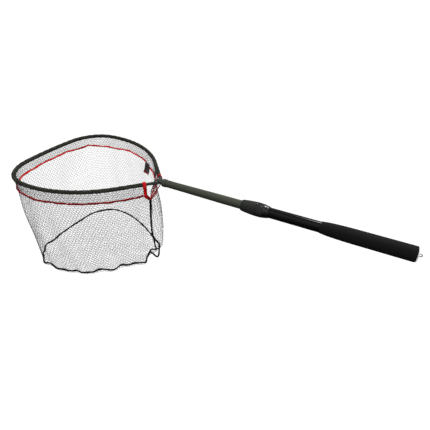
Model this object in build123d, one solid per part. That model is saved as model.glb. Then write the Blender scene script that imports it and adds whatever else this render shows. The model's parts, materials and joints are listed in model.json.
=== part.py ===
import os
from math import cos, pi, radians, sin, tan
from build123d import *

# Landing net with a telescopic, twist-locking handle.
# X runs along the handle from the hoop to the butt, Z is up and the hoop lies in the XY plane.
# The origin is the middle of the grip. Stations along the handle are counted from the junction
# of the hoop's two arms, which is junction_to_origin in front of it. All lengths are millimetres.
junction_to_origin = 610.0

# Hoop: two straight arms, then on each side a long side arc, a corner arc and half the front arc.
hoop_shape = dict(arm_angle=46.0, arm_run=133.0, side_r=342.0, side_turn=52.0, corner_r=116.0, corner_turn=78.0)
hoop_tube_r = 4.5
hoop_tube_wall = 1.0
arm_start = 14.0

# Bag: the base has its own outline, set back from the junction and leaning to one side.
base_shape = dict(arm_angle=48.0, arm_run=126.5, side_r=275.0, side_turn=52.0, corner_r=95.0, corner_turn=78.0)
base_setback = 70.0
base_lean = -28.0
bag_depth = 325.0
bag_corner_r = 30.0
net_thickness = 1.2
rim_thickness = 1.7
wall_top = 7.0
base_sag = 14.0
base_flat_share = 0.5

# Band of doubled netting below the hoop, closed by the piping; its lower edge slopes to the front.
band_gap = 0.4
band_thickness = 1.0
band_depth_at_junction = 52.0
band_depth_at_front = 35.0
near_band_end = 66.0
far_band_end = 62.0
near_binding = 50.0
far_binding = 38.0
gap_depth = 78.0
piping_r = 2.4
binding_r = 1.8
binding_depth = 52.0
base_cord_r = 3.0
seam_cord_r = 3.0
gap_cord_r = 1.6
piping_lean = 4.5
tag_size = (28.0, 1.2, 42.0)
tag_place = (-179.7, 139.0, -48.0)
tag_turn = -33.0
hoop_length = 483.0
piping_out = 1.9
soft_gap = 0.4

# Handle stations, from the junction of the arms.
hub_front = -14.0
hub_back = -2.0
stud_seat = -8.2
pin_station = -5.0
boss_start = 9.0
boss_length = 12.0
ferrule_front = 7.0
ferrule_back = 19.6
pole_front = 10.2
rivet_station = 34.0
pole_nose_end = 60.0
pole_taper_end = 205.0
pole_back = 500.0
nut_front = 263.0
wiper_front = 264.6
washer_front = 281.2
collet_front = 282.4
sleeve_front = 286.5
lower_tube_front = 299.0
nut_back = 305.6
flute_middle = 317.0
flute_length = 19.0
sleeve_back = 333.0
ring_back = 341.0
grip_front = 471.5
grip_full = 541.0
cap_front = 664.0
grip_back = 679.5
cap_back = 682.0

# Handle radii.
pole_nose_r = 11.0
pole_r = 12.1
pole_wall = 1.3
ferrule_r = 12.2
lower_tube_r = 14.0
lower_tube_wall = 1.3
nut_front_r = 14.6
nut_bore_r = 15.66
nut_step_r = 15.0
sleeve_nose_r = 15.6
collar_r = 19.3
ring_r = 16.7
grip_front_r = 15.0
grip_r = 18.65
hub_r = 7.2
boss_r = 5.7
stud_r = 4.76
pin_r = 1.25
rivet_r = 1.5
cap_r = 17.6
eye_shank_r = 2.0

# Fits.
running = 0.05
bonded = 0.02

# Details.
flute_count = 22
flute_r = 1.6
jam_nut_flats = 15.0
eye_r = 4.5
eye_hole_r = 2.5


def turned(profile):
    """A solid turned about the handle's axis, from (station, radius) points."""
    points = [(station - junction_to_origin, radius) for station, radius in profile]
    return revolve(make_face(Polyline(*points, close=True)), Axis.X, 360)


def ring(start, end, inner_r, outer_r):
    """A plain ring on the handle's axis."""
    return turned([(start, inner_r), (end, inner_r), (end, outer_r), (start, outer_r)])


def rod(start, end, radius):
    """A solid cylinder on the handle's axis."""
    return turned([(start, 0), (end, 0), (end, radius), (start, radius)])


def upright_rod(station, low, high, radius):
    """A cylinder parallel to Z that crosses the handle's axis."""
    middle = Location((station - junction_to_origin, 0, (low + high) / 2))
    return middle * Cylinder(radius, high - low)


def heading_vector(heading):
    """Direction in the hoop's plane; 0 is straight to the front, 90 is to the near side."""
    return Vector(-cos(radians(heading)), -sin(radians(heading)))


def half_outline(shape, rounding, inset, start_run=0.0):
    """Near half of a hoop-like outline as (start, middle, end) pieces, counted from its sharp corner.

    rounding is the radius at the junction, or 0 for two arms that meet in a point, and
    inset moves the whole outline inwards.
    """
    angle = shape["arm_angle"]
    corner_cut = rounding / tan(radians(angle))
    steps = [(shape["arm_run"] - corner_cut - start_run, 0.0)]
    steps.append((shape["side_r"] - inset, shape["side_turn"]))
    steps.append((shape["corner_r"] - inset, shape["corner_turn"]))
    if rounding > 0:
        apex_shift = rounding * (1 / sin(radians(angle)) - 1) + inset
        point = Vector(-apex_shift, 0)
        heading = 90.0
        steps.insert(0, (rounding - inset, 90.0 - angle))
    else:
        point = heading_vector(angle) * start_run + heading_vector(angle - 90) * inset
        heading = angle
    pieces = []
    for size, turn in steps:
        if turn == 0:
            end = point + heading_vector(heading) * size
            pieces.append((point, None, end))
        else:
            centre = point + heading_vector(heading - 90) * size
            middle = centre - heading_vector(heading - turn / 2 - 90) * size
            end = centre - heading_vector(heading - turn - 90) * size
            pieces.append((point, middle, end))
            heading -= turn
        point = end
    # The front arc is what brings the outline square across the middle.
    front_r = -point.Y / cos(radians(heading))
    centre = point + heading_vector(heading - 90) * front_r
    middle = centre - heading_vector((heading - 90) / 2 - 90) * front_r
    pieces.append((point, middle, Vector((centre.X - front_r), 0)))
    return pieces


def mirrored(pieces):
    """The far half, running back from the front to the junction."""
    def flip(point):
        return None if point is None else Vector(point.X, -point.Y)

    return [(flip(end), flip(middle), flip(start)) for start, middle, end in reversed(pieces)]


def outline_wire(pieces, setback=0.0, lean=0.0, height=0.0):
    """Wire through the pieces, moved to its place in the object."""
    shift = Vector(-junction_to_origin - setback, lean, height)
    edges = []
    for start, middle, end in pieces:
        if middle is None:
            edges.append(Line(start + shift, end + shift))
        else:
            edges.append(ThreePointArc(start + shift, middle + shift, end + shift))
    return Wire(edges)


def closed_outline(shape, rounding, inset, setback, lean, height):
    half = half_outline(shape, rounding, inset)
    return outline_wire(half + mirrored(half), setback, lean, height)


def scaled(shape, factor):
    """The same outline at another size: lengths change and angles stay."""
    lengths = {name: value * factor for name, value in shape.items() if not name.endswith(("angle", "turn"))}
    return {**shape, **lengths}


def bag_form(inset, top=-wall_top, bottom=-bag_depth + 3.5):
    """Ruled form from the hoop's outline down to the base's outline."""
    upper = Face(closed_outline(hoop_shape, bag_corner_r, inset, 0, 0, top))
    lower = Face(closed_outline(base_shape, bag_corner_r, inset, base_setback, base_lean, bottom))
    return loft([upper, lower], ruled=True)


def gap_cutter():
    """The room between the two band ends, above the head of the seam."""
    along = cos(radians(hoop_shape["arm_angle"]))
    size = (90, 120, gap_depth + 10)
    near = Box(*size, align=(Align.MIN, Align.MAX, Align.MIN))
    far = Box(*size, align=(Align.MIN, Align.MIN, Align.MIN))
    near_x = -near_band_end * along - junction_to_origin
    far_x = -far_band_end * along - junction_to_origin
    return [Location((near_x, 0, -gap_depth)) * near, Location((far_x, 0, -gap_depth)) * far]


def tube_along(path, radius):
    """Round tube or cord along a path."""
    start = Plane(origin=path @ 0, z_dir=path % 0)
    return sweep(start * Circle(radius), path=path)


def hoop_path(start_run):
    half = half_outline(hoop_shape, 0.0, 0.0, start_run)
    return outline_wire(half + mirrored(half))


def hoop_tube():
    path = hoop_path(arm_start)
    return tube_along(path, hoop_tube_r) - tube_along(path, hoop_tube_r - hoop_tube_wall)


def net_rim():
    path = hoop_path(arm_start + 20)
    rolled = tube_along(path, hoop_tube_r + bonded + rim_thickness)
    sleeve = rolled - tube_along(path, hoop_tube_r + bonded)
    for cutter in gap_cutter():
        sleeve -= cutter
    return sleeve


def net_wall():
    wall = bag_form(0.0) - bag_form(net_thickness)
    for cutter in gap_cutter():
        wall -= cutter
    return wall


def band_slope():
    """Plane of the band's lower edge, high at the front."""
    tilt = (band_depth_at_front - band_depth_at_junction) / hoop_length
    return Plane(origin=(-junction_to_origin, 0, -band_depth_at_junction), z_dir=(-tilt, 0, 1))


def net_band():
    outer = bag_form(-band_gap - band_thickness)
    inner = bag_form(-band_gap)
    above = band_slope() * Box(1400, 600, 200, align=(Align.CENTER, Align.CENTER, Align.MIN))
    band = (outer - inner) & above
    for cutter in gap_cutter():
        band -= cutter
    return band


def net_piping():
    half = half_outline(hoop_shape, 0.0, -band_gap - band_thickness - piping_out, far_band_end + 3)
    wire = outline_wire(half + mirrored(half), 0.0, -piping_lean, 0.0)
    slope = (band_depth_at_front - band_depth_at_junction) / hoop_length
    drop = -band_depth_at_junction - piping_r - soft_gap
    lowered = wire.moved(Location((0, 0, drop), (0, 0, 0)))
    pivot = Axis((-junction_to_origin, 0, drop), (0, 1, 0))
    return tube_along(lowered.rotate(pivot, -slope * 180 / pi), piping_r)


def binding(side, run):
    """Tape loop over the hoop at the end of the band; side is -1 near and 1 far."""
    angle = radians(hoop_shape["arm_angle"])
    arm = Vector(-cos(angle) * run - junction_to_origin, side * sin(angle) * run)
    outwards = Vector(sin(angle), side * cos(angle)) * (hoop_tube_r + rim_thickness + binding_r + soft_gap)
    up = Vector(0, 0, outwards.length)
    down = Vector(0, 0, -binding_depth)
    over = ThreePointArc(arm + outwards, arm + up, arm - outwards)
    legs = [Line(arm + outwards + down, arm + outwards), over, Line(arm - outwards, arm - outwards + down)]
    return tube_along(Wire(legs), binding_r)


def band_bindings():
    return Compound([binding(-1, near_binding), binding(1, far_binding)])


def corner_radii(points):
    """Radius of each arc of a cord: 0.45 of the shorter run over the tangent of half the turn."""
    radii = []
    for before, point, after in zip(points, points[1:], points[2:]):
        turn = (point - before).get_angle(after - point)
        shorter = min((point - before).length, (after - point).length)
        radii.append(0.45 * shorter / tan(radians(turn / 2)))
    return radii


def cord(name, route, radius):
    """Cord on straight runs joined by tangent arcs, from points counted from the junction."""
    points = [Vector(x - junction_to_origin, y, z) for x, y, z in route]
    radii = corner_radii(points)
    print(name, "arc radii", [round(r, 1) for r in radii])
    path = Wire(FilletPolyline(*points, radius=radii).edges())
    made = tube_along(path, radius)
    print(name, "length", round(path.length, 1), "volume share", round(made.volume / (pi * radius**2 * path.length), 3))
    return made


def gap_cord():
    route = [(-41, -39, -57), (-43, -26, -65), (-46, -10, -71), (-44, 3, -70), (-37, 14, -64), (-29, 24, -57)]
    return cord("gap_cord", route, gap_cord_r)


def seam_cord():
    route = [(-46, -6, -77), (-50, -4, -112), (-58, -6, -160), (-70, -12, -212), (-80, -20, -264), (-88, -24, -314)]
    return cord("seam_cord", route, seam_cord_r)


def base_cord():
    loop = closed_outline(base_shape, bag_corner_r, 0.8, base_setback, base_lean, -bag_depth)
    return tube_along(loop, base_cord_r)


def net_base():
    """Shallow dish inside the base cord."""
    inset = base_cord_r + 1.2
    rim = Face(closed_outline(base_shape, bag_corner_r, inset, base_setback, base_lean, -bag_depth + 1))
    small = scaled(base_shape, base_flat_share)
    small_setback = base_setback + 100
    corner = bag_corner_r * base_flat_share
    floor_z = -bag_depth - base_sag
    low = Face(closed_outline(small, corner, 0.0, small_setback, base_lean, floor_z))
    dish = loft([rim, low], ruled=True)
    return dish - dish.moved(Location((0, 0, net_thickness)))


def net_tag():
    """Woven label hanging from the piping on the far side, inside the net."""
    width, thickness, height = tag_size
    label = Box(width, thickness, height, align=(Align.CENTER, Align.CENTER, Align.MAX))
    x, y, top = tag_place
    return Location((x - junction_to_origin, y, top), (0, 0, tag_turn)) * label


def head_block():
    """Fitting that takes both arms of the hoop and the stud."""
    block = ring(hub_front + 1, hub_back, stud_r + bonded, hub_r) + rod(hub_front, stud_seat, hub_r)
    sockets = []
    for side in (-1, 1):
        direction = Vector(-cos(radians(hoop_shape["arm_angle"])), side * sin(radians(hoop_shape["arm_angle"])))
        junction = Vector(-junction_to_origin, 0)
        boss = Plane(origin=junction + direction * boss_start, z_dir=direction) * Cylinder(
            boss_r, boss_length, align=(Align.CENTER, Align.CENTER, Align.MIN))
        sockets.append(Plane(origin=junction + direction * arm_start, z_dir=direction) * Cylinder(
            hoop_tube_r + bonded, 40, align=(Align.CENTER, Align.CENTER, Align.MIN)))
        block += boss
    for socket in sockets:
        block -= socket
    block -= rod(stud_seat, 10, stud_r + bonded)
    return block - upright_rod(pin_station, -12, 12, pin_r + bonded)


def head_stud():
    return rod(stud_seat + 0.2, rivet_station, stud_r) - upright_rod(pin_station, -12, 12, pin_r + bonded)


def stud_pin():
    return upright_rod(pin_station, -hub_r - 0.2, hub_r + 0.2, pin_r)


def jam_nut():
    across = jam_nut_flats / cos(pi / 6) / 2
    blank = Plane(origin=(-1.5 - junction_to_origin, 0, 0), z_dir=(1, 0, 0)) * extrude(RegularPolygon(across, 6), 5)
    return blank - rod(-5, 10, stud_r + running)


def tube_ferrule():
    cap = turned([
        (ferrule_front, 0), (ferrule_front, ferrule_r - 1.6), (ferrule_front + 0.5, ferrule_r - 0.7),
        (ferrule_front + 1.6, ferrule_r), (ferrule_back - 0.6, ferrule_r), (ferrule_back, ferrule_r - 0.5),
        (ferrule_back, 0)])
    cap -= rod(ferrule_front - 1, ferrule_back + 1, 5.3)
    return cap - rod(pole_front - 0.1, ferrule_back + 1, pole_nose_r + bonded)


def rivet_holes(low):
    hole_r = rivet_r + bonded
    return [upright_rod(rivet_station, low, 14, hole_r), upright_rod(rivet_station, -14, -low, hole_r)]


def upper_tube():
    nose_in = pole_nose_r - pole_wall
    tube = turned([
        (pole_front, nose_in), (pole_nose_end, nose_in), (pole_taper_end, pole_r - pole_wall),
        (pole_back, pole_r - pole_wall), (pole_back, pole_r), (pole_taper_end, pole_r),
        (pole_nose_end, pole_nose_r), (pole_front, pole_nose_r)])
    for hole in rivet_holes(6):
        tube -= hole
    return tube


def thread_insert():
    plug = ring(pole_front, 46, stud_r + running, pole_nose_r - pole_wall - bonded)
    for hole in rivet_holes(6.4):
        plug -= hole
    return plug


def insert_rivets():
    rivets = []
    for side in (-1, 1):
        low, high = sorted((side * 6.5, side * (pole_nose_r + 0.4)))
        head_low, head_high = sorted((side * (pole_nose_r + 0.15), side * (pole_nose_r + 0.9)))
        shank = upright_rod(rivet_station, low, high, rivet_r)
        rivets.append(shank + upright_rod(rivet_station, head_low, head_high, 2.6))
    return Compound(rivets)


def tail_plug():
    inner = pole_r - pole_wall - bonded
    spigot = ring(pole_back - 16, pole_back, inner - 2, inner)
    return spigot + ring(pole_back, pole_back + 3, inner - 2, pole_r + 0.35)


def guide_bush():
    bore = lower_tube_r - lower_tube_wall
    bush = ring(pole_back - 28, pole_back - 0.4, pole_r + 0.03, bore - running)
    slit = Location((pole_back - 14 - junction_to_origin, 0, bore)) * Box(40, 2, 6)
    return bush - slit


def lower_tube():
    return ring(lower_tube_front, grip_back, lower_tube_r - lower_tube_wall, lower_tube_r)


def lock_sleeve():
    sleeve = turned([
        (sleeve_front, running + lower_tube_r), (sleeve_front, sleeve_nose_r), (nut_back + 0.4, sleeve_nose_r),
        (nut_back + 0.4, collar_r - 0.5), (nut_back + 0.9, collar_r), (315, 19.2), (320, 18.9), (327, 18.0),
        (sleeve_back - 1, 17.1), (sleeve_back, 16.8), (sleeve_back, running + lower_tube_r)])
    for index in range(flute_count):
        around = Axis((0, 0, 0), (1, 0, 0))
        place = Location((flute_middle - junction_to_origin, 0, collar_r + 1.0))
        flute = place * Rot(0, 90, 0) * Cylinder(flute_r, flute_length)
        sleeve -= flute.rotate(around, 360 * index / flute_count)
    return sleeve


def sleeve_ring():
    inner = lower_tube_r + bonded
    return turned([
        (sleeve_back + 0.3, inner), (sleeve_back + 0.3, ring_r - 0.4), (sleeve_back + 0.9, ring_r),
        (ring_back - 4, 16.2), (ring_back - 1.5, 15.4), (ring_back, 14.7), (ring_back, inner)])


def lock_collet():
    body = ring(collet_front + 2.6, lower_tube_front - 1, pole_r + running, 13.9)
    body += ring(collet_front, collet_front + 2.6, pole_r + running, 14.6)
    for angle in range(45, 360, 90):
        slit = Location((collet_front + 7.6 - junction_to_origin, 0, 13)) * Box(11, 1.6, 5)
        body -= slit.rotate(Axis((0, 0, 0), (1, 0, 0)), angle)
    return body


def thrust_washer():
    return ring(washer_front, washer_front + 1, pole_r + 0.3, 14.8)


def nut_wiper():
    return ring(wiper_front, wiper_front + 2.2, pole_r + 0.1, 13.2)


def lock_nut():
    hole_r = pole_r + 0.3
    nut = turned([
        (nut_front, hole_r), (nut_front, nut_front_r - 0.6), (nut_front + 0.6, nut_front_r),
        (266, 15.4), (272, 16.5), (281, 17.5), (290, 18.3), (300, 19.0), (nut_back - 0.8, collar_r - 0.1),
        (nut_back, collar_r - 0.7), (nut_back, nut_bore_r), (sleeve_front - 0.5, nut_bore_r),
        (sleeve_front - 0.5, nut_step_r), (washer_front - 0.2, nut_step_r), (washer_front - 0.2, hole_r)])
    return nut - ring(wiper_front - 0.2, wiper_front + 2.4, hole_r - 1, 13.25)


def hand_grip():
    return turned([
        (grip_front, lower_tube_r + bonded), (grip_front, grip_front_r - 0.3), (grip_front + 1, grip_front_r),
        (486, 16.6), (500, 17.45), (514, 18.0), (528, 18.4), (grip_full, grip_r),
        (grip_back - 1, grip_r), (grip_back, grip_r - 1), (grip_back, lower_tube_r + bonded)])


def butt_cap():
    plug_r = lower_tube_r - lower_tube_wall - bonded
    return turned([
        (cap_front, eye_shank_r + running), (cap_front, plug_r - 0.5), (cap_front + 0.5, plug_r), (grip_back, plug_r),
        (grip_back, cap_r), (cap_back - 0.8, cap_r), (cap_back, cap_r - 0.8), (cap_back, eye_shank_r + running)])


def lanyard_eye():
    shank = rod(659.5, 684, eye_shank_r) - ring(660.5, 662, 1.5, 3)
    centre = Location((687 - junction_to_origin, 0, 0), (90, 0, 0))
    return (shank + centre * Cylinder(eye_r, 2.4)) - centre * Cylinder(eye_hole_r, 6)


def eye_clip():
    return ring(660.7, 661.8, 1.52, 4.5)


nodes = dict(
    lower_tube=lower_tube, hand_grip=hand_grip, butt_cap=butt_cap, lock_sleeve=lock_sleeve,
    sleeve_ring=sleeve_ring, lock_collet=lock_collet, lock_nut=lock_nut, nut_wiper=nut_wiper,
    thrust_washer=thrust_washer, guide_bush=guide_bush, upper_tube=upper_tube, tube_ferrule=tube_ferrule,
    thread_insert=thread_insert, insert_rivets=insert_rivets, tail_plug=tail_plug, head_block=head_block,
    head_stud=head_stud, stud_pin=stud_pin, jam_nut=jam_nut, hoop_tube=hoop_tube, net_rim=net_rim,
    net_band=net_band, net_wall=net_wall, net_base=net_base, net_piping=net_piping,
    band_bindings=band_bindings, gap_cord=gap_cord, base_cord=base_cord, seam_cord=seam_cord,
    net_tag=net_tag, lanyard_eye=lanyard_eye, eye_clip=eye_clip)

os.makedirs("parts", exist_ok=True)
for name, make in nodes.items():
    export_step(make(), f"parts/{name}.step")
print(len(nodes), "nodes written")
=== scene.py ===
import json
import math
import bpy
import numpy as np
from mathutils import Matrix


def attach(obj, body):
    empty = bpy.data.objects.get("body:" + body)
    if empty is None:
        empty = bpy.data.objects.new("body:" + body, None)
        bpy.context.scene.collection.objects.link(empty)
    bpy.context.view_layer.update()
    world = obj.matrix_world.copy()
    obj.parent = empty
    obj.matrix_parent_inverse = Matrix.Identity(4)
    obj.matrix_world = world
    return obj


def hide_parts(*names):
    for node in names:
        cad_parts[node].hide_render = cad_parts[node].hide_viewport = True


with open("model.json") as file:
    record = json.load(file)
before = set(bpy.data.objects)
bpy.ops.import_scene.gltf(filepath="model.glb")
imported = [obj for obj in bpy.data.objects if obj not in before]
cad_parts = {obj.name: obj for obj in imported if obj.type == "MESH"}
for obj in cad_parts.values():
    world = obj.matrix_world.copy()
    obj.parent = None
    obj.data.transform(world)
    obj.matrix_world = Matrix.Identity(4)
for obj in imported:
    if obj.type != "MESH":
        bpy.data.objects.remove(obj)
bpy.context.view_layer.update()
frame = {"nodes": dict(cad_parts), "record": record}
print("frame loaded")

joints = {joint["name"]: joint for joint in frame["record"]["behaviour"]["joints"]}
junctionX = joints["head_turn"]["pos_m"][0]  # where the two arms of the hoop meet
mm = 0.001


# points in millimetres counted from the junction, moved to the frame's metres
def place(points):
    return np.asarray(points, float) * mm + np.array([junctionX, 0, 0])


def unit(vectors):
    return vectors / np.maximum(np.linalg.norm(vectors, axis=-1, keepdims=True), 1e-12)


# 0 below low, 1 above high, and a smooth S between them
def ease(value, low, high):
    t = np.clip((value - low) / (high - low), 0, 1)
    return t * t * (3 - 2 * t)


def newPiece(name, points, quads, triangles=None, uv=None, attributes=None):
    mesh = bpy.data.meshes.new(name)
    points = np.asarray(points, np.float32).reshape(-1, 3)
    loops = [np.asarray(quads, np.int32).ravel()]
    totals = [np.full(len(quads), 4, np.int32)]
    if triangles is not None:
        loops.append(np.asarray(triangles, np.int32).ravel())
        totals.append(np.full(len(triangles), 3, np.int32))
    loops, totals = np.concatenate(loops), np.concatenate(totals)
    mesh.vertices.add(len(points))
    mesh.vertices.foreach_set("co", points.ravel())
    mesh.loops.add(len(loops))
    mesh.loops.foreach_set("vertex_index", loops)
    mesh.polygons.add(len(totals))
    mesh.polygons.foreach_set("loop_start", (np.cumsum(totals) - totals).astype(np.int32))
    mesh.update(calc_edges=True)
    if uv is not None:
        layer = mesh.uv_layers.new(name="UVMap")
        layer.data.foreach_set("uv", np.asarray(uv, np.float32).reshape(-1, 2)[loops].ravel())
    for label, values in (attributes or {}).items():
        attribute = mesh.attributes.new(label, "FLOAT", "POINT")
        attribute.data.foreach_set("value", np.asarray(values, np.float32).ravel())
    mesh.polygons.foreach_set("use_smooth", np.ones(len(totals), bool))
    piece = bpy.data.objects.new(name, mesh)
    bpy.context.scene.collection.objects.link(piece)
    return piece


# quads of a grid: rows run along the piece and columns round it, and either can close on itself
def gridQuads(rows, columns, closeRows=False, closeColumns=True):
    i = np.arange(rows if closeRows else rows - 1)[:, None]
    j = np.arange(columns if closeColumns else columns - 1)[None, :]
    nextI, nextJ = (i + 1) % rows, (j + 1) % columns
    corners = [i * columns + j, i * columns + nextJ, nextI * columns + nextJ, nextI * columns + j]
    return np.stack(corners, -1).reshape(-1, 4)


# each corner (station, radius, rounding) becomes a short quadratic arc with a support point before and after it
def roundedProfile(corners, steps=5):
    pieces = []
    for index, (station, radius, rounding) in enumerate(corners):
        here = np.array([station, radius])
        back = np.array(corners[index - 1][:2]) - here
        ahead = np.array(corners[(index + 1) % len(corners)][:2]) - here
        reach = min(rounding, 0.45 * np.linalg.norm(back), 0.45 * np.linalg.norm(ahead))
        start, end = here + unit(back) * reach, here + unit(ahead) * reach
        t = np.linspace(0, 1, steps + 1)[:, None]
        arc = (1 - t) ** 2 * start + 2 * t * (1 - t) * here + t ** 2 * end
        pieces += [[start + unit(back) * 0.1 * reach], arc, [end + unit(ahead) * 0.1 * reach]]
    return np.concatenate(pieces)


# a closed profile of stations and radii in millimetres carried round the handle's axis;
# relief(station, angle) is added to the radius
def turned(name, corners, sides=96, relief=None, steps=5):
    profile = roundedProfile(corners, steps)
    angle = np.linspace(0, 2 * np.pi, sides, endpoint=False)[None]
    station, radius = profile[:, :1], profile[:, 1:]
    if relief is not None:
        radius = radius + relief(station, radius, angle)
    station = station + 0 * angle
    grid = np.stack([station, radius * np.cos(angle), radius * np.sin(angle)], -1)
    return newPiece(name, place(grid), gridQuads(len(profile), sides, closeRows=True))


# a section carried along a path: at each point it is a ring of the given radius, widened by flat along the
# direction "across", which is first turned square to the path
def tubeAlong(name, path, radius, sides=10, closed=False, across=(0, 0, 1), flat=1.0, inwards=None):
    path = np.asarray(path, float)
    if closed:
        tangent = unit(np.roll(path, -1, 0) - np.roll(path, 1, 0))
    else:
        tangent = unit(np.gradient(path, axis=0))
    across = np.broadcast_to(np.asarray(across, float), path.shape)
    side = unit(across - tangent * np.sum(across * tangent, -1, keepdims=True))
    top = np.cross(side, tangent)
    angle = np.linspace(0, 2 * np.pi, sides, endpoint=False)[None, :, None]
    radius = np.broadcast_to(np.asarray(radius, float), len(path))[:, None, None]
    outwards = np.cos(angle) * side[:, None] * flat + np.sin(angle) * top[:, None]
    points = (path[:, None] + radius * outwards).reshape(-1, 3)
    quads = gridQuads(len(path), sides, closeRows=closed)[:, ::-1]
    steps = np.linalg.norm(np.diff(path, axis=0), axis=1)
    length = np.concatenate([[0], np.cumsum(steps)])[:, None]
    uv = np.stack([length + 0 * angle[..., 0], 0 * length + angle[..., 0] / (2 * np.pi)], -1).reshape(-1, 2)
    # "inside" is how far each ring point faces along inwards; the red tape uses it to place its painted shade
    facing = np.zeros((len(path), sides))
    if inwards is not None:
        facing = np.sum(unit(outwards) * inwards[:, None], -1)
    facing = facing.ravel()
    triangles = None
    if not closed:
        j = np.arange(sides)
        last = (len(path) - 1) * sides
        points = np.concatenate([points, path[:1], path[-1:]])
        start = np.stack([np.full(sides, len(points) - 2), j, (j + 1) % sides], -1)
        end = np.stack([np.full(sides, len(points) - 1), last + (j + 1) % sides, last + j], -1)
        triangles = np.concatenate([start, end])
        uv = np.concatenate([uv, [[0, 0], [length[-1, 0], 0]]])
        facing = np.concatenate([facing, [0, 0]])
    return newPiece(name, place(points), quads, triangles, uv, {"inside": facing})


# points at even steps along a path
def evenly(path, spacing, closed=False):
    whole = np.concatenate([path, path[:1]]) if closed else path
    length = np.concatenate([[0], np.cumsum(np.linalg.norm(np.diff(whole, axis=0), axis=1))])
    at = np.linspace(0, length[-1], max(4, int(length[-1] / spacing)), endpoint=not closed)
    return np.stack([np.interp(at, length, whole[:, k]) for k in range(3)], -1)


# a smooth curve through given points: a Catmull-Rom cubic between each pair
def smoothPath(points, spacing=1.5, closed=False):
    points = np.asarray(points, float)
    ends = [points[-1:], points, points[:2]]
    if not closed:
        ends = [2 * points[:1] - points[1:2], points, 2 * points[-1:] - points[-2:-1]]
    knots = np.concatenate(ends)
    a, b, c, d = (knots[k:len(knots) - 3 + k, None] for k in range(4))
    t = np.linspace(0, 1, 24, endpoint=False)[None, :, None]
    curve = 2 * b + (c - a) * t + (2 * a - 5 * b + 4 * c - d) * t ** 2 + (3 * b - a - 3 * c + d) * t ** 3
    curve = curve.reshape(-1, 3) / 2
    if not closed:
        curve = np.concatenate([curve, points[-1:]])
    return evenly(curve, spacing, closed)


class Value:
    def __init__(self, finish, socket):
        self.finish = finish
        self.socket = socket

    def sum(self, operation, first, second=0.0):
        return self.finish.node("ShaderNodeMath", {"operation": operation}, {0: first, 1: second})

    def __add__(self, other):
        return self.sum("ADD", self, other)

    __radd__ = __add__

    def __sub__(self, other):
        return self.sum("SUBTRACT", self, other)

    def __rsub__(self, other):
        return self.sum("SUBTRACT", other, self)

    def __mul__(self, other):
        return self.sum("MULTIPLY", self, other)

    __rmul__ = __mul__

    def sine(self):
        return self.sum("SINE", self)

    # 0 below low and 1 above high
    def between(self, low, high):
        inputs = {"Value": self, "From Min": low, "From Max": high}
        return self.finish.node("ShaderNodeMapRange", {"clamp": True}, inputs)


class Finish:
    def __init__(self, name, **fixed):
        self.material = bpy.data.materials.new(name)
        self.material.use_nodes = True
        self.tree = self.material.node_tree
        self.shader = next(n for n in self.tree.nodes if n.type == "BSDF_PRINCIPLED")
        for label, value in fixed.items():
            self.shader.inputs[label.replace("_", " ")].default_value = value

    def node(self, kind, settings=None, inputs=None, output=0):
        made = self.tree.nodes.new(kind)
        for label, value in (settings or {}).items():
            setattr(made, label, value)
        for key, value in (inputs or {}).items():
            if isinstance(value, Value):
                self.tree.links.new(value.socket, made.inputs[key])
            else:
                made.inputs[key].default_value = value
        return Value(self, made.outputs[output])

    def place(self):
        return self.node("ShaderNodeTexCoord", output="Object")

    def parts(self, vector):
        split = self.node("ShaderNodeSeparateXYZ", inputs={0: vector}).socket.node
        return [Value(self, socket) for socket in split.outputs]

    def uv(self):
        return self.parts(self.node("ShaderNodeUVMap", {"uv_map": "UVMap"}))

    def attribute(self, name):
        return self.node("ShaderNodeAttribute", {"attribute_name": name}, output="Fac")

    def noise(self, scale, detail=2.0, roughness=0.5, stretch=None):
        vector = self.place()
        if stretch is not None:
            vector = self.node("ShaderNodeMapping", inputs={"Vector": vector, "Scale": stretch})
        inputs = {"Vector": vector, "Scale": scale, "Detail": detail, "Roughness": roughness}
        return self.node("ShaderNodeTexNoise", inputs=inputs)

    def cells(self, scale):
        inputs = {"Vector": self.place(), "Scale": scale}
        return self.node("ShaderNodeTexVoronoi", inputs=inputs, output="Distance")

    def mix(self, share, first, second):
        return self.node("ShaderNodeMix", {"data_type": "RGBA"}, {0: share, 6: first, 7: second}, output=2)

    def feed(self, label, value):
        self.tree.links.new(value.socket, self.shader.inputs[label])

    def bump(self, height, depth, strength=1.0):
        inputs = {"Height": height, "Distance": depth, "Strength": strength}
        self.feed("Normal", self.node("ShaderNodeBump", inputs=inputs))


# a screen colour from 0 to 255 turned into the linear colour that a shader takes
def tone(red, green, blue):
    share = np.array([red, green, blue]) / 255
    linear = np.where(share < 0.04045, share / 12.92, ((share + 0.055) / 1.055) ** 2.4)
    return (*[float(v) for v in linear], 1.0)


def dress(piece, finish, body, slot, *nodes):
    piece.data.materials.clear()
    piece.data.materials.append(finish.material)
    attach(piece, body)
    if nodes:
        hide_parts(*nodes)
    return piece


# hoop and base outlines, in millimetres and degrees
hoop = dict(armAngle=46.0, armRun=133.0, sideRadius=342.0, sideTurn=52.0, cornerRadius=116.0, cornerTurn=78.0)
base = dict(armAngle=48.0, armRun=126.5, sideRadius=275.0, sideTurn=52.0, cornerRadius=95.0, cornerTurn=78.0)
baseShift = np.array([-70.0, -28.0])


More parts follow.
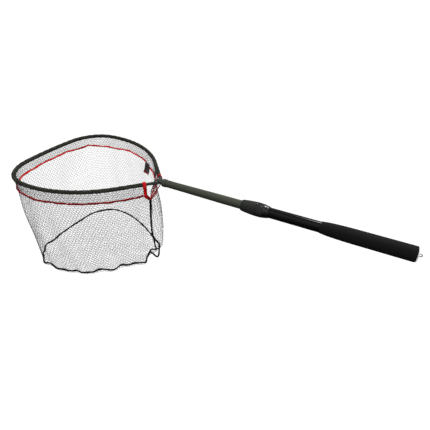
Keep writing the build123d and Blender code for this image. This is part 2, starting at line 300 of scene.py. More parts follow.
# near half: an arm, a side arc, a corner arc, then the front arc that arrives square at the middle line.
# the heading turns at a steady rate on each stretch and the path is the running sum of the headings;
# the far half is the same, mirrored
def outline(shape, rounding=0.0, samples=4000):
    angle = math.radians(shape["armAngle"])
    turns = [0.0, math.radians(shape["sideTurn"]), math.radians(shape["cornerTurn"])]
    lengths = [shape["armRun"], shape["sideRadius"] * turns[1], shape["cornerRadius"] * turns[2]]
    heading, start = angle, 0.0
    if rounding > 0:
        lengths[0] -= rounding / math.tan(angle)
        lengths.insert(0, rounding * (math.pi / 2 - angle))
        turns.insert(0, math.pi / 2 - angle)
        heading, start = math.pi / 2, -rounding * (1 / math.sin(angle) - 1)

    def walk():
        knots = np.concatenate([[0], np.cumsum(lengths)])
        s = np.linspace(0, knots[-1], samples)
        headings = np.interp(s, knots, heading - np.concatenate([[0], np.cumsum(turns)]))
        step = np.stack([-np.cos(headings), -np.sin(headings)], -1)
        middle = (step[1:] + step[:-1]) / 2 * (s[1] - s[0])
        return np.concatenate([[[start, 0.0]], [start, 0.0] + np.cumsum(middle, 0)])

    left = heading - sum(turns)
    frontRadius = -walk()[-1, 1] / math.cos(left)
    lengths.append(frontRadius * (left + math.pi / 2))
    turns.append(left + math.pi / 2)
    near = walk()
    path = np.concatenate([near, near[-2::-1] * [1, -1]])
    length = np.concatenate([[0], np.cumsum(np.linalg.norm(np.diff(path, axis=0), axis=1))])
    return dict(path=path, length=length, total=length[-1])


def pointOn(shape, s):
    return np.stack([np.interp(s, shape["length"], shape["path"][:, k]) for k in (0, 1)], -1)


# the tangent turned a quarter turn, which points out of the outline
def outwardOn(shape, s):
    ahead = pointOn(shape, np.minimum(s + 1.0, shape["total"]))
    behind = pointOn(shape, np.maximum(s - 1.0, 0))
    t = unit(ahead - behind)
    return np.stack([-t[..., 1], t[..., 0]], -1)


hoopLine = outline(hoop)
# the base's outline is kept away from the junction; near it the cord follows listed points
nearCorner = [(-94, 5), (-92, 0), (-85, -23), (-76, -37), (-75, -48), (-93, -60), (-114, -78)]
farCorner = [(-223, 123), (-194, 112), (-160, 94), (-125, 70), (-103, 49), (-81, 28), (-90, 22), (-97, 17)]
plainBase = outline(base, rounding=30.0)
coarse = pointOn(plainBase, np.arange(0, plainBase["total"], 12.0)) + baseShift
half = len(coarse) // 2
coarse = np.concatenate([coarse[:half][coarse[:half, 0] < -130], coarse[half:][coarse[half:, 0] < -240]])
basePath = np.concatenate([nearCorner, coarse, farCorner])
basePath = smoothPath(np.concatenate([basePath, 0 * basePath[:, :1]], -1), 1.0, closed=True)[:, :2]
basePath = np.concatenate([basePath, basePath[:1]])
baseLength = np.concatenate([[0], np.cumsum(np.linalg.norm(np.diff(basePath, axis=0), axis=1))])
baseLine = dict(path=basePath, length=baseLength, total=baseLength[-1])
print("hoop", round(hoopLine["total"]), "mm round, base", round(baseLine["total"]), "mm round")

bag = dict(
    depth=325.0, nearEnd=50.0, farEnd=38.0, topGap=4.5, power=1.3, hangPower=4.0, hangFrom=0.80, hangFull=0.94,
    belly=36.0, frontBelly=14.0, ripple=2.4, nearPull=34.0, farPull=90.0, bandOut=1.6)
headOfSeam = (-46.0, -6.0, -72.0)
# the line down which the two edges of the netting are sewn together: depth, then X and Y
seamLine = np.array([
    (72, -46, -6), (112, -54, -2), (170, -62, 0), (215, -62, -2), (240, -52, -5), (262, -42, -3), (285, -42, -6),
    (303, -60, -5), (325, -94, 5)], float)
nearEdge = np.concatenate([[(0, -34.7, -36), (25, -35, -36.5), (42, -35.5, -35), (60, -41, -20)], seamLine])
farEdge = np.concatenate([[(0, -26.4, 27.3), (25, -32, 27), (48, -40, 20), (60, -44, 8)], seamLine])


# how far the sewn base cord wanders from its outline: short waves, strongest along the near side
def baseWander(u):
    near = ease(u, 0.02, 0.07) * (1 - ease(u, 0.40, 0.52))
    far = ease(u, 0.52, 0.62) * (1 - ease(u, 0.95, 0.99))
    wave = np.sin(u * 118 + 0.6) + 0.6 * np.sin(u * 71 + 2.1) + 0.4 * np.sin(u * 203 + 4.0)
    drop = 2.6 * near * wave + 0.9 * far * np.sin(u * 63 + 1.0)
    out = 3.0 * near * (np.sin(u * 90 + 1.7) + 0.5 * np.sin(u * 151)) + 1.0 * far * np.sin(u * 77)
    return out, drop


# the bag's wall: at each depth the ring is a blend of the hoop's outline and the base's outline, whose share grows
# as a power of the depth. At the far side of the junction the power is higher, so the netting hangs straighter
# before it tucks in. The two ends are pulled to the tape and the seam, and low waves make it uneven.
def wallPoint(u, depth):
    share = np.clip(depth / bag["depth"], 0, 1)
    hang = ease(u, bag["hangFrom"], bag["hangFull"])
    blend = share ** (bag["power"] + (bag["hangPower"] - bag["power"]) * hang)
    run = hoopLine["total"] - bag["nearEnd"] - bag["farEnd"]
    s = bag["nearEnd"] + run * u
    top, out = pointOn(hoopLine, s), outwardOn(hoopLine, s)
    wander, drop = baseWander(u)
    low = pointOn(baseLine, baseLine["total"] * u)
    lowOut = outwardOn(baseLine, baseLine["total"] * u)
    flat = top * (1 - blend[..., None]) + low * blend[..., None]
    swell = np.sin(np.pi * share)
    waves = np.sin(u * 57 + 3 * share) + 0.7 * np.sin(u * 96 + 1 - 4 * share) + 0.5 * np.sin(u * 31 + 9 * share)
    bulge = np.sin(np.pi * share ** 2.5)
    front = ease(u, 0.3, 0.42) * (1 - ease(u, 0.6, 0.72))
    push = bag["belly"] * bulge * hang + bag["frontBelly"] * swell * front + bag["ripple"] * swell * waves
    folds = ease(u, 0.86, 0.92) * np.sin(u * 420 + 1.2) * ease(share, 0.15, 0.5)
    push = push + 2.5 * folds * swell
    flat = flat + out * push[..., None] + lowOut * (wander * share ** 6)[..., None]
    for edge, distance, pull in ((nearEdge, run * u, bag["nearPull"]), (farEdge, run * (1 - u), bag["farPull"])):
        reach = np.exp(-(distance / pull) ** 2)
        side = 0.0 if edge is nearEdge else 1.0
        plainTop = pointOn(hoopLine, bag["nearEnd"] + run * side)
        plainLow = pointOn(baseLine, baseLine["total"] * side)
        power = bag["power"] if side == 0 else bag["hangPower"]
        edgeBlend = (share ** power)[..., None]
        plain = plainTop * (1 - edgeBlend) + plainLow * edgeBlend
        swollen = (bag["belly"] * bulge * side)[..., None]
        plain = plain + outwardOn(hoopLine, bag["nearEnd"] + run * side) * swollen
        wanted = np.stack([np.interp(depth, edge[:, 0], edge[:, k]) for k in (1, 2)], -1)
        flat = flat + (wanted - plain) * reach[..., None]
    z = -depth + drop * share ** 6
    return np.concatenate([flat, z[..., None]], -1)


# the wall's point and its outward direction, from the cross product of small steps round and down
def wallFrame(u, depth):
    here = wallPoint(u, depth)
    around = wallPoint(np.minimum(u + 0.0015, 1), depth) - wallPoint(np.maximum(u - 0.0015, 0), depth)
    down = wallPoint(u, depth + 1.5) - wallPoint(u, depth - 1.5)
    return here, unit(np.cross(around, down))


# strands with a square section: each row is one zigzag strand through its nodes, and short uprights join the low
# nodes of a row to the high nodes of the next, which leaves six-sided holes
def zigzags(nodes, normals, radius):
    rows, columns = nodes.shape[:2]
    tangent = unit(np.gradient(nodes, axis=1))
    side = unit(np.cross(tangent, normals))
    top = np.cross(side, tangent)
    angle = (np.arange(4) * np.pi / 2 + np.pi / 4)[None, None, :, None]
    rings = nodes[:, :, None] + radius * (np.cos(angle) * side[:, :, None] + np.sin(angle) * top[:, :, None])
    offset = (np.arange(rows) * columns * 4)[:, None, None]
    quads = (gridQuads(columns, 4)[None, :, ::-1] + offset).reshape(-1, 4)
    start = np.array([[0, 1, 2, 3]]) + offset[:, 0]
    end = np.array([[3, 2, 1, 0]]) + (columns - 1) * 4 + offset[:, 0]
    return rings.reshape(-1, 3), np.concatenate([quads, start, end])


def struts(starts, ends, normals, radius):
    tangent = unit(ends - starts)
    side = unit(np.cross(tangent, normals))
    top = np.cross(side, tangent)
    angle = (np.arange(4) * np.pi / 2 + np.pi / 4)[None, :, None]
    around = radius * (np.cos(angle) * side[:, None] + np.sin(angle) * top[:, None])
    points = np.stack([starts[:, None] + around, ends[:, None] + around], 1).reshape(-1, 3)
    quads = np.concatenate([gridQuads(2, 4)[:, ::-1], [[0, 1, 2, 3]], [[7, 6, 5, 4]]])
    quads = (quads[None] + (np.arange(len(starts)) * 8)[:, None, None]).reshape(-1, 4)
    return points, quads


def joined(name, groups):
    points = np.concatenate([group[0] for group in groups])
    counts = np.cumsum([0] + [len(group[0]) for group in groups])
    quads = np.concatenate([group[1] + count for group, count in zip(groups, counts)])
    return newPiece(name, place(points), quads)


def netting(name, nodes, normals, radius, firstRow=0, lastRow=True):
    rows, columns = nodes.shape[:2]
    rowNodes = slice(0, rows if lastRow else rows - 1)
    i, j = np.meshgrid(np.arange(rows - 1), np.arange(columns), indexing="ij")
    low = (i + j + firstRow) % 2 == 1
    starts, ends = nodes[:-1][low], nodes[1:][low]
    rowStrands = zigzags(nodes[rowNodes], normals[rowNodes], radius)
    return joined(name, [rowStrands, struts(starts, ends, normals[:-1][low], radius)])


mesh = dict(
    cellWidth=11.0, rowHeight=7.5, step=0.33, radius=0.46, bandRadius=0.38, rimRadius=0.75, baseRadius=0.42)

rubber = Finish("netRubber", Roughness=0.55, Specular_IOR_Level=0.12)
grain = rubber.noise(60, 3)
rubber.feed("Base Color", rubber.mix(grain, tone(12, 16, 20), tone(38, 45, 53)))
rubber.feed("Roughness", rubber.noise(300, 2) * 0.25 + 0.45)
rubber.bump(rubber.noise(2500, 2), 0.0001, 0.4)
rimRubber = Finish("rimRubber", Roughness=0.6, Specular_IOR_Level=0.12)
rimRubber.feed("Base Color", rimRubber.mix(rimRubber.noise(45, 3), tone(18, 20, 17), tone(66, 68, 58)))
rimRubber.feed("Roughness", rimRubber.noise(300, 2) * 0.25 + 0.5)
rimRubber.bump(rimRubber.noise(1500, 2), 0.0002, 0.5)


def wallNodes(rows, depthAt, outward=0.0):
    run = hoopLine["total"] - bag["nearEnd"] - bag["farEnd"]
    columns = int(round(run / mesh["cellWidth"])) * 2 + 1
    row, column = np.meshgrid(np.arange(rows + 1), np.arange(columns), indexing="ij")
    u = column / (columns - 1)
    level = (row + mesh["step"] * ((row + column) % 2)) / (rows + mesh["step"])
    here, normal = wallFrame(u, depthAt(u, level))
    return here + normal * outward, normal


wallRows = int(round((bag["depth"] - bag["topGap"]) / mesh["rowHeight"]))
nodes, normals = wallNodes(wallRows, lambda u, level: bag["topGap"] + (bag["depth"] - bag["topGap"]) * level)
third = wallRows // 3
for label, first, last in (("netWallUpper", 0, third), ("netWallMiddle", third, 2 * third),
                           ("netWallLower", 2 * third, wallRows)):
    wallPiece = netting(label, nodes[first:last + 1], normals[first:last + 1], mesh["radius"], first,
                        last == wallRows)
    dress(wallPiece, rubber, "head", "netting", "net_wall")
print("wall of the bag:", wallRows, "rows")


# depth of the band's lower edge: straight lines between listed knots along the hoop
bandKnots = np.array([
    (0, 36), (0.022, 39.5), (0.04, 41.5), (0.09, 43), (0.11, 40.5), (0.184, 41), (0.223, 40), (0.25, 43), (0.31, 43.5),
    (0.40, 38), (0.50, 34), (0.553, 34), (0.58, 38.5), (0.604, 39), (0.616, 34.5), (0.64, 41), (0.664, 44.5),
    (0.691, 46.5), (0.723, 42.5), (0.757, 40), (0.792, 45), (0.834, 46.5), (0.85, 62), (0.87, 68), (0.90, 74),
    (0.93, 76), (0.96, 73), (1, 72)])


def bandDepth(u):
    return np.interp(u, bandKnots[:, 0], bandKnots[:, 1])


bandRows = 9
bandNodes, bandNormals = wallNodes(
    bandRows, lambda u, level: bag["topGap"] + (bandDepth(u) - bag["topGap"]) * level, bag["bandOut"])
dress(netting("netBand", bandNodes, bandNormals, mesh["bandRadius"]), rubber, "head", "netting", "net_band")


# netting rolled round the hoop: the same six-sided holes on a ring of the given radius, closed all round
def rolled(name, radius, rows, shift):
    run = hoopLine["total"] - bag["nearEnd"] - bag["farEnd"]
    columns = int(round(run / mesh["cellWidth"])) * 2 + 1
    row, column = np.meshgrid(np.arange(rows + 1), np.arange(columns), indexing="ij")
    s = bag["nearEnd"] + run * column / (columns - 1)
    out = outwardOn(hoopLine, s)
    angle = 2 * np.pi * (row + mesh["step"] * ((row + column) % 2) + shift) / rows
    flat = pointOn(hoopLine, s)
    normal = np.concatenate([out * np.cos(angle)[..., None], -np.sin(angle)[..., None]], -1)
    bumpy = radius + 0.35 * np.sin(s * 0.9 + angle) + 0.25 * np.sin(s * 0.31 + 2 * angle)
    here = np.concatenate([flat, 0 * s[..., None]], -1) + normal * bumpy[..., None]
    return netting(name, here, normal, mesh["rimRadius"], 0, False)


for label, radius, rows, shift in (("netRimInner", 5.2, 6, 0.0), ("netRimOuter", 5.9, 8, 0.5)):
    dress(rolled(label, radius, rows, shift), rimRubber, "head", "netting", "net_rim")
print("band and rolled rim")

# base netting: rows of six-sided holes on the plane of the base, clipped to the cord, hanging in a shallow dish
dish = dict(sag=16.5, nearReach=6.0, farReach=45.0, wave=1.6, nearPush=6.0)
dense = np.linspace(0, baseLine["total"], 900, endpoint=False)
baseRing = pointOn(baseLine, dense)


def basePoint(flat):
    gaps = np.linalg.norm(flat[:, None] - baseRing[None], axis=-1)
    nearest = np.argmin(gaps, 1)
    distance = gaps[np.arange(len(flat)), nearest]
    u = dense[nearest] / baseLine["total"]
    wander, drop = baseWander(u)
    close = np.exp(-distance / 14)
    reach = dish["farReach"] + (dish["nearReach"] - dish["farReach"]) * (1 - ease(u, 0.42, 0.56))
    waves = np.sin(flat[:, 0] * 0.045 + 1) * np.sin(flat[:, 1] * 0.06)
    z = -bag["depth"] - dish["sag"] * (1 - np.exp(-distance / reach)) + drop * close
    z = z + dish["wave"] * waves * (1 - close)
    near = 1 - ease(u, 0.42, 0.56)
    push = wander * close + dish["nearPush"] * near * np.exp(-((distance - 8) / 8) ** 2)
    moved = flat + outwardOn(baseLine, dense[nearest]) * push[:, None]
    return np.concatenate([moved, z[:, None]], -1), distance


# a point is inside when the ring turns once round it
def insideBase(flat):
    a = baseRing[None] - flat[:, None]
    b = np.roll(a, -1, 1)
    turn = np.arctan2(a[..., 0] * b[..., 1] - a[..., 1] * b[..., 0], np.sum(a * b, -1))
    return np.abs(turn.sum(1)) > np.pi


low, high = baseRing.min(0) - 6, baseRing.max(0) + 6
columns = int((high[0] - low[0]) / mesh["cellWidth"]) * 2
rows = int((high[1] - low[1]) / mesh["rowHeight"])
row, column = np.meshgrid(np.arange(rows), np.arange(columns), indexing="ij")
flat = np.stack([low[0] + column * mesh["cellWidth"] / 2,
                 low[1] + (row + mesh["step"] * ((row + column) % 2)) * mesh["rowHeight"]], -1)
inside = insideBase(flat.reshape(-1, 2)).reshape(flat.shape[:2])
gaps = np.linalg.norm(flat.reshape(-1, 1, 2) - baseRing[None], axis=-1)
snapped = baseRing[np.argmin(gaps, 1)].reshape(flat.shape)
flat = np.where(inside[..., None], flat, snapped)
points = basePoint(flat.reshape(-1, 2))[0].reshape(*flat.shape[:2], 3)
crosswise = inside[:, :-1] | inside[:, 1:]
upright = ((row + column)[:-1] % 2 == 1) & (inside[:-1] | inside[1:])
starts = np.concatenate([points[:, :-1][crosswise], points[:-1][upright]])
ends = np.concatenate([points[:, 1:][crosswise], points[1:][upright]])
real = np.linalg.norm(ends - starts, axis=-1) > 0.3
up = np.array([[0.02, 0.01, -1.0]])
baseNormals = np.repeat(up, real.sum(), 0)
basePiece = joined("netBase", [struts(starts[real], ends[real], baseNormals, mesh["baseRadius"])])
dress(basePiece, rubber, "head", "netting", "net_base")
print("base of the bag:", int(real.sum()), "strands")

# sewn tapes and cords: red tape is bright where it faces into the bag and carries painted shade, a darker red, where
# it faces outside
redTape = Finish("redTape", Roughness=0.75, Specular_IOR_Level=0.12)
u, v, _ = redTape.uv()
weave = (u * 4.2).sine() * (v * 50.3).sine()
bright = redTape.mix(redTape.noise(90, 2), tone(222, 14, 16), tone(240, 26, 22))
# painted shade: a darker copy of the red for tape faces that turn outwards, picked by the "inside" attribute
dark = redTape.mix(redTape.noise(90, 2), tone(108, 16, 20), tone(140, 28, 30))
red = redTape.mix(redTape.attribute("inside").between(-0.35, 0.35), dark, bright)
redTape.feed("Base Color", redTape.mix(weave * 0.16 + 0.16, red, tone(90, 12, 14)))
redTape.bump(weave, 0.0003, 0.7)

blackTape = Finish("blackTape", Roughness=0.8, Specular_IOR_Level=0.12)
u, v, _ = blackTape.uv()
braid = ((u * 2.4) + (v * 25.1)).sine() * ((u * 2.4) - (v * 25.1)).sine()
blackTape.feed("Base Color", blackTape.mix(braid * 0.5 + 0.5, tone(8, 8, 9), tone(26, 27, 29)))
blackTape.feed("Roughness", blackTape.noise(400, 2) * 0.2 + 0.65)
blackTape.bump(braid, 0.0004, 0.8)

tape = dict(piping=3.0, binding=1.9, gap=1.5, baseCord=3.0, seam=3.0)

u = np.linspace(0, 1, 900)
here, out = wallFrame(u, bandDepth(u))
wobble = 0.5 * np.sin(u * 210) + 0.4 * np.sin(u * 93 + 1)
piping = here + out * 0.8 + np.stack([0 * u, 0 * u, wobble], -1)
thickness = tape["piping"] * (1 + 0.1 * np.sin(u * 170) + 0.06 * np.sin(u * 411))
keep = slice(5, 810)
pipingPiece = tubeAlong("redPiping", piping[keep], thickness[keep], 12, inwards=-out[keep])
dress(pipingPiece, redTape, "head", "red_tape", "net_piping")

nearArm = np.array([-math.cos(math.radians(hoop["armAngle"])), -math.sin(math.radians(hoop["armAngle"])), 0])
farArm = nearArm * [1, -1, 1]
nearLoop = [headOfSeam, (-40, -22, -58), (-35, -36, -42), (-33.5, -37, -20), (-30, -40.5, -5), (-34.7, -36, 7.5),
            (-39.5, -31.5, -5), (-36, -34.5, -20), (-35.5, -35, -38)]
farLoop = [headOfSeam, (-43, 5, -64), (-33, 18, -45), (-22, 27.5, -22), (-17.8, 28.6, -4), (-23, 23.7, 7.6),
           (-28.6, 18.2, -3), (-34, 14, -24), (-40, 6, -46)]
for label, loop, arm in (("nearBinding", nearLoop, nearArm), ("farBinding", farLoop, farArm)):
    path = smoothPath(loop, 1.2, closed=True)
    middle = path.mean(0)
    binding = tubeAlong(label, path, tape["binding"] * (1.0 if arm is nearArm else 0.8), 12, True, arm,
                        2.7 if arm is nearArm else 1.6, inwards=unit(path - middle) * [1, 1, 0.2])
    dress(binding, redTape, "head", "red_tape", "band_bindings")
gapRoute = [piping[6], (-40, -24, -58), headOfSeam, (-47, 15, -72), (-53, 35, -72), (-62, 52, -72),
            (-79, 73, -70), (-99, 90, -75), piping[809]]
gapLine = smoothPath(gapRoute, 1.5)
gapPiece = tubeAlong("gapTape", gapLine, tape["gap"], 10, inwards=unit(gapLine * 0 + [-1.0, 0.2, 0.0]))
dress(gapPiece, redTape, "head", "red_tape", "gap_cord")
print("red tapes")

u = np.linspace(0, 1, 1100, endpoint=False)
wander, drop = baseWander(u)
flat = pointOn(baseLine, baseLine["total"] * u) + outwardOn(baseLine, baseLine["total"] * u) * wander[:, None]
baseCord = np.concatenate([flat, (-bag["depth"] + drop)[:, None]], -1)
thickness = tape["baseCord"] * (1 + 0.12 * np.sin(u * 190) + 0.08 * np.sin(u * 67 + 2))
basePiece = tubeAlong("baseCord", baseCord, thickness, 12, True, (0, 0, 1), 1.15)
dress(basePiece, blackTape, "head", "black_tape", "base_cord")

seamRoute = [headOfSeam, (-50, -3, -92), (-54, -2, -112), (-62, 0, -170), (-60, -4, -222), (-50, -5, -242),
             (-43, -2, -252), (-42, 2, -268), (-36, -12, -292), (-40, -16, -308), (-50, -14, -313),
             (-74, -6, -313), baseCord[0]]
seamPath = smoothPath(seamRoute, 1.6)
run = np.linspace(0, 1, len(seamPath))
thickness = tape["seam"] * (1 + 0.35 * np.exp(-((run - 0.05) / 0.06) ** 2) + 0.1 * np.sin(run * 60))
seamPiece = tubeAlong("seamTape", seamPath, thickness, 12, False, (0, 1, 0))
dress(seamPiece, blackTape, "head", "black_tape", "seam_cord")

# the label: a patch between four corners, bowed a little, with its own thickness
label = Finish("wovenLabel", Roughness=0.7)
u, v, _ = label.uv()
threads = (u * 260).sine() * (v * 380).sine()
body = label.mix(threads * 0.4 + 0.4, tone(26, 26, 28), tone(52, 52, 54))
stripe = 1 - v.between(0.20, 0.22)
label.feed("Base Color", label.mix(stripe, body, tone(120, 26, 28)))
label.bump(threads, 0.0002, 0.6)
topLeft, topRight = np.array([-188.0, 158, -46]), np.array([-161.8, 148, -47])
lowLeft, lowRight = topLeft + [-7.5, -10, -40], topRight + [-4, -9, -41]
s, t = np.meshgrid(np.linspace(0, 1, 25), np.linspace(0, 1, 37), indexing="xy")
s, t = s[..., None], t[..., None]
patch = (topLeft * (1 - s) + topRight * s) * (1 - t) + (lowLeft * (1 - s) + lowRight * s) * t
lean = unit(np.cross(topRight - topLeft, lowLeft - topLeft))
patch = patch + lean * (3.0 * np.sin(np.pi * s) * t + 1.5 * np.sin(np.pi * t) ** 2)
uv = np.concatenate([s, 1 - t], -1)
tagPiece = newPiece("netTag", place(patch), gridQuads(37, 25, closeColumns=False), uv=uv)
solid = tagPiece.modifiers.new("thickness", "SOLIDIFY")
solid.thickness = 0.0009
solid.offset = 0
dress(tagPiece, label, "head", "label", "net_tag")
print("cords and label")

# hoop tube and handle
tubes = dict(hoop=4.5, nose=11.0, pole=12.1, lower=14.0, wall=1.3)
coat = Finish("hoopCoat", Roughness=0.45, Specular_IOR_Level=0.2)
coat.feed("Base Color", coat.mix(coat.noise(120, 3), tone(24, 27, 22), tone(44, 47, 40)))
coat.feed("Roughness", coat.noise(500, 3) * 0.2 + 0.36)
coat.bump(coat.noise(1500, 2), 0.0001, 0.35)
s = np.linspace(14, hoopLine["total"] - 14, 700)
hoopPath = np.concatenate([pointOn(hoopLine, s), 0 * s[:, None]], -1)
dress(tubeAlong("hoopTube", hoopPath, tubes["hoop"], 20), coat, "head", "hoop_tube", "hoop_tube")

poleCoat = Finish("poleCoat", Roughness=0.42, Metallic=0.1, Specular_IOR_Level=0.25)
streak = poleCoat.noise(260, 3, 0.6, (0.06, 1, 1))
speck = poleCoat.noise(1100, 2)
poleColour = poleCoat.mix(streak, tone(42, 45, 35), tone(62, 66, 54))
poleCoat.feed("Base Color", poleCoat.mix(speck * 0.35, poleColour, tone(40, 43, 33)))
poleCoat.feed("Roughness", streak * 0.16 + 0.32)
poleCoat.bump(speck, 0.00006, 0.3)
nose, wall = tubes["nose"], tubes["wall"]
polePiece = turned("poleTube", [
    (10.2, nose, 0.3), (60, nose, 12), (205, tubes["pole"], 12), (500, tubes["pole"], 0.3),
    (500, tubes["pole"] - wall, 0.3), (205, tubes["pole"] - wall, 12), (60, nose - wall, 12),
    (10.2, nose - wall, 0.3)])
dress(polePiece, poleCoat, "pole", "upper_tube", "upper_tube")
ferrulePiece = turned("poleFerrule", [
    (7, 10.4, 0.5), (7.4, 11.4, 0.6), (8.8, 12.2, 0.8), (19.6, 12.2, 0.5), (19.6, 11.05, 0.1), (10.1, 11.05, 0.2),
    (10.1, 5.4, 0.3), (7, 5.4, 0.4)])
dress(ferrulePiece, poleCoat, "pole", "tube_ferrule", "tube_ferrule")

lacquer = Finish("blackLacquer", Roughness=0.16, Specular_IOR_Level=0.07)
flake = lacquer.noise(1800, 2)
lacquer.feed("Base Color", lacquer.mix(flake, tone(5, 5, 6), tone(14, 14, 16)))
lacquer.feed("Roughness", lacquer.noise(45, 3, 0.6, (0.2, 1, 1)) * 0.14 + 0.10)
lowerPiece = turned("lowerTube", [
    (299, tubes["lower"], 0.4), (679.5, tubes["lower"], 0.4), (679.5, tubes["lower"] - wall, 0.3),
    (299, tubes["lower"] - wall, 0.3)])
dress(lowerPiece, lacquer, "handle", "lower_tube", "lower_tube")

nutRubber = Finish("nutPlastic", Roughness=0.7, Specular_IOR_Level=0.15)
dots = nutRubber.cells(620)
nutRubber.feed("Base Color", nutRubber.mix(dots.between(0.1, 0.6), tone(42, 44, 41), tone(24, 26, 24)))
nutRubber.feed("Roughness", nutRubber.noise(60, 3) * 0.2 + 0.55)
nutRubber.bump(1 - dots, 0.0003, 0.6)


def nutGrooves(station, radius, angle):
    on = ease(station, 272, 276) * (1 - ease(station, 298, 302)) * (radius > 16.4)
    return -0.35 * on * (0.5 + 0.5 * np.cos(18 * angle)) ** 3


nutPiece = turned("lockNut", [
    (263, 13.4, 0.5), (263, 14.6, 0.8), (266, 15.4, 2), (272, 16.5, 3), (281, 17.5, 4), (290, 18.3, 4),
    (300, 19.0, 2), (304.8, 19.2, 0.5), (305.6, 18.9, 0.5), (305.6, 15.66, 0.4), (286, 15.66, 0.3),
    (286, 15.0, 0.3), (281, 15.0, 0.3), (281, 12.4, 0.3), (267, 12.4, 0.2), (267, 13.25, 0.1),
    (264.4, 13.25, 0.1), (264.4, 12.4, 0.2), (263, 12.4, 0.3)], 144, nutGrooves)
dress(nutPiece, nutRubber, "lock_nut", "lock_nut", "lock_nut")

gloss = Finish("glossPlastic", Roughness=0.22, Specular_IOR_Level=0.22)
gloss.feed("Base Color", gloss.mix(gloss.noise(35, 3), tone(6, 6, 8), tone(16, 16, 19)))
gloss.feed("Roughness", gloss.noise(240, 3) * 0.14 + 0.14)
gloss.bump(gloss.noise(900, 2), 0.00005, 0.3)


# ribs: a raised cosine to a power, all round, faded in and out along the sleeve
def sleeveRibs(station, radius, angle):
    on = ease(station, 307, 308.5) * (1 - ease(station, 325.5, 327.5)) * (radius > 17.5)
    return -1.1 * on * (0.5 + 0.5 * np.cos(22 * angle)) ** 1.5


sleevePiece = turned("lockSleeve", [
    (286.5, 15.6, 0.4), (306, 15.6, 0.2), (306, 18.8, 0.4), (306.5, 19.3, 0.5), (308, 19.3, 0.4),
    (309, 19.3, 0.2), (315, 19.2, 0.5), (320, 18.9, 0.5), (327, 18.0, 0.8), (332, 17.1, 0.5), (333, 16.8, 0.4),
    (333, 14.05, 0.3), (286.5, 14.05, 0.3)], 264, sleeveRibs)
dress(sleevePiece, gloss, "handle", "lock_sleeve", "lock_sleeve")
ringPiece = turned("sleeveRing", [
    (333.3, 16.3, 0.4), (333.9, 16.7, 0.5), (337, 16.2, 0.8), (339.5, 15.4, 0.8), (341, 14.7, 0.4),
    (341, 14.02, 0.2), (333.3, 14.02, 0.3)])
dress(ringPiece, gloss, "handle", "sleeve_ring", "sleeve_ring")

foam = Finish("gripFoam", Roughness=0.9, Specular_IOR_Level=0.12)
pores = foam.noise(1500, 4, 0.65)
foam.feed("Base Color", foam.mix(pores, tone(6, 6, 6), tone(20, 19, 20)))
foam.feed("Roughness", foam.noise(30, 3) * 0.16 + 0.76)
foam.bump(pores + foam.cells(900) * 0.5, 0.0005, 0.5)
gripPiece = turned("handGrip", [
    (471.5, 14.6, 0.3), (472.5, 15.0, 0.5), (486, 16.6, 5), (500, 17.45, 5), (514, 18.0, 5), (528, 18.4, 5),
    (541, 18.65, 5), (610, 18.65, 5), (678.7, 18.65, 0.5), (679.5, 17.9, 0.5), (679.5, 14.02, 0.4),
    (471.5, 14.02, 0.2)])
dress(gripPiece, foam, "handle", "hand_grip", "hand_grip")

paleCap = Finish("paleCap", Roughness=0.4)
paleCap.feed("Base Color", paleCap.mix(paleCap.noise(80, 3), tone(196, 202, 200), tone(222, 228, 226)))
paleCap.feed("Roughness", paleCap.noise(300, 2) * 0.2 + 0.32)
paleCap.bump(paleCap.noise(700, 2), 0.00008, 0.3)
capPiece = turned("buttCap", [
    (664, 12.2, 0.4), (664.6, 12.68, 0.3), (679.5, 12.68, 0.1), (679.5, 17.6, 0.2), (681.2, 17.6, 0.8),
    (682, 16.8, 0.5), (682, 6.0, 0.4), (681.2, 5.6, 0.4), (681.2, 2.1, 0.2), (664, 2.1, 0.3)])
dress(capPiece, paleCap, "handle", "butt_cap", "butt_cap")

steel = Finish("darkSteel", Roughness=0.35, Metallic=0.9)
steel.feed("Base Color", steel.mix(steel.noise(150, 3), tone(70, 71, 74), tone(112, 113, 116)))
steel.feed("Roughness", steel.noise(420, 3) * 0.25 + 0.25)
steel.bump(steel.noise(900, 2), 0.00006, 0.3)
angle = np.linspace(0, 2 * np.pi, 72, endpoint=False)
ringPath = np.stack([687 + 3.5 * np.cos(angle), 0 * angle, 3.5 * np.sin(angle)], -1)
eyePiece = tubeAlong("lanyardRing", ringPath, 1.0, 12, True, (0, 1, 0), 1.2)
dress(eyePiece, steel, "lanyard_eye", "eye_steel", "lanyard_eye")
shankPiece = turned("lanyardShank", [
    (659.5, 0.3, 0.1), (659.5, 2.0, 0.4), (660.5, 2.0, 0.1), (660.6, 1.5, 0.1), (661.9, 1.5, 0.1), (662, 2.0, 0.1),
    (684, 2.0, 0.5), (684, 0.3, 0.1)], 24)
dress(shankPiece, steel, "lanyard_eye", "eye_steel", "lanyard_eye")
print("handle")


# finishes for the fittings that keep their own shape: brushed or moulded grain over a base tone
def fittingFinish(name, dark, light, roughness, metallic, stretch=None):
    made = Finish(name, Metallic=metallic)
    grain = made.noise(320, 3, 0.6, stretch)
    made.feed("Base Color", made.mix(grain, tone(*dark), tone(*light)))
    made.feed("Roughness", grain * 0.2 + roughness)
    made.bump(made.noise(1200, 2), 0.00005, 0.3)
    return made


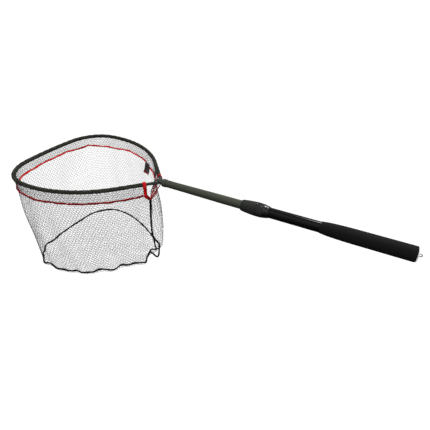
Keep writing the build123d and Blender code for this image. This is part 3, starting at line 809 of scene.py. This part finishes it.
plated = fittingFinish("platedFitting", (24, 27, 24), (46, 48, 44), 0.45, 0.3)
nutSteel = fittingFinish("nutSteel", (44, 46, 44), (78, 80, 78), 0.4, 0.6)
machined = fittingFinish("machinedAluminium", (176, 178, 180), (208, 210, 212), 0.3, 1.0, (0.1, 1, 1))
natural = fittingFinish("naturalNylon", (196, 194, 184), (222, 220, 210), 0.5, 0.0)
blackMoulding = fittingFinish("blackMoulding", (22, 22, 23), (44, 44, 45), 0.55, 0.0)
kept = dict(
    head_block=plated, head_stud=nutSteel, stud_pin=nutSteel, jam_nut=nutSteel, thread_insert=machined,
    insert_rivets=plated, tail_plug=blackMoulding, lock_collet=natural, thrust_washer=natural,
    nut_wiper=blackMoulding, guide_bush=natural, eye_clip=steel)
for label, finish in kept.items():
    cadMesh = frame["nodes"][label].data
    cadMesh.materials.clear()
    cadMesh.materials.append(finish.material)
print("fittings")

# floor, light and camera
studio = dict(
    floorZ=-0.95, floorReach=300.0, skyBelow=0.08, skyAbove=1.0, azimuth=27.59, elevation=35.99, lens=26.52)
floorFinish = Finish("paleFloor", Roughness=0.9, Emission_Color=(1, 1, 1, 1), Emission_Strength=1.0)
floorTones = (0.03, 0.03, 0.03, 1), (0.04, 0.04, 0.04, 1)
floorFinish.feed("Base Color", floorFinish.mix(floorFinish.noise(3, 2), *floorTones))
far = studio["floorReach"]
corners = np.array([(-far, -far, studio["floorZ"]), (far, -far, studio["floorZ"]), (far, far, studio["floorZ"]),
                    (-far, far, studio["floorZ"])], float)
floor = newPiece("studioFloor", corners, [[0, 1, 2, 3]])
floor.data.materials.append(floorFinish.material)
floor.visible_diffuse = False
floor.visible_glossy = False
world = bpy.data.worlds.new("studio")
bpy.context.scene.world = world
world.use_nodes = True
world.node_tree.nodes["Background"].inputs["Color"].default_value = (1, 1, 1, 1)
# the sky is dark below the object and bright above it, so that undersides fall away
sky = world.node_tree
heading = sky.nodes.new("ShaderNodeTexCoord")
height = sky.nodes.new("ShaderNodeSeparateXYZ")
level = sky.nodes.new("ShaderNodeMapRange")
skyRange = {"From Min": -0.4, "From Max": 0.4, "To Min": studio["skyBelow"], "To Max": studio["skyAbove"]}
for label, value in skyRange.items():
    level.inputs[label].default_value = value
sky.links.new(heading.outputs["Generated"], height.inputs[0])
sky.links.new(height.outputs["Z"], level.inputs["Value"])
sky.links.new(level.outputs[0], sky.nodes["Background"].inputs["Strength"])
lamps = (("backLight", (-0.2, 1.6, 2.0), 0.5, 50), ("fillLight", (-0.3, -1.4, 2.2), 2.2, 16))
for label, spot, size, power in lamps:
    lamp = bpy.data.lights.new(label, "AREA")
    lamp.shape = "DISK"
    lamp.size = size
    lamp.energy = power
    holder = bpy.data.objects.new(label, lamp)
    bpy.context.scene.collection.objects.link(holder)
    holder.location = spot
    aim = np.array([-0.4, 0, 0]) - spot
    holder.rotation_euler = (math.acos(-aim[2] / np.linalg.norm(aim)), 0, math.atan2(-aim[0], aim[1]))

camera = bpy.data.cameras.new("camera")
camera.lens = studio["lens"]
camera.sensor_width = 36
cameraHolder = bpy.data.objects.new("camera", camera)
bpy.context.scene.collection.objects.link(cameraHolder)
cameraHolder.location = (-0.0851, -0.6564, 0.4771)
elevation, azimuth = math.radians(studio["elevation"]), math.radians(studio["azimuth"])
cameraHolder.rotation_euler = (math.pi / 2 - elevation, 0, azimuth)
bpy.context.scene.camera = cameraHolder
bpy.context.scene.view_settings.view_transform = "Standard"
print("studio")
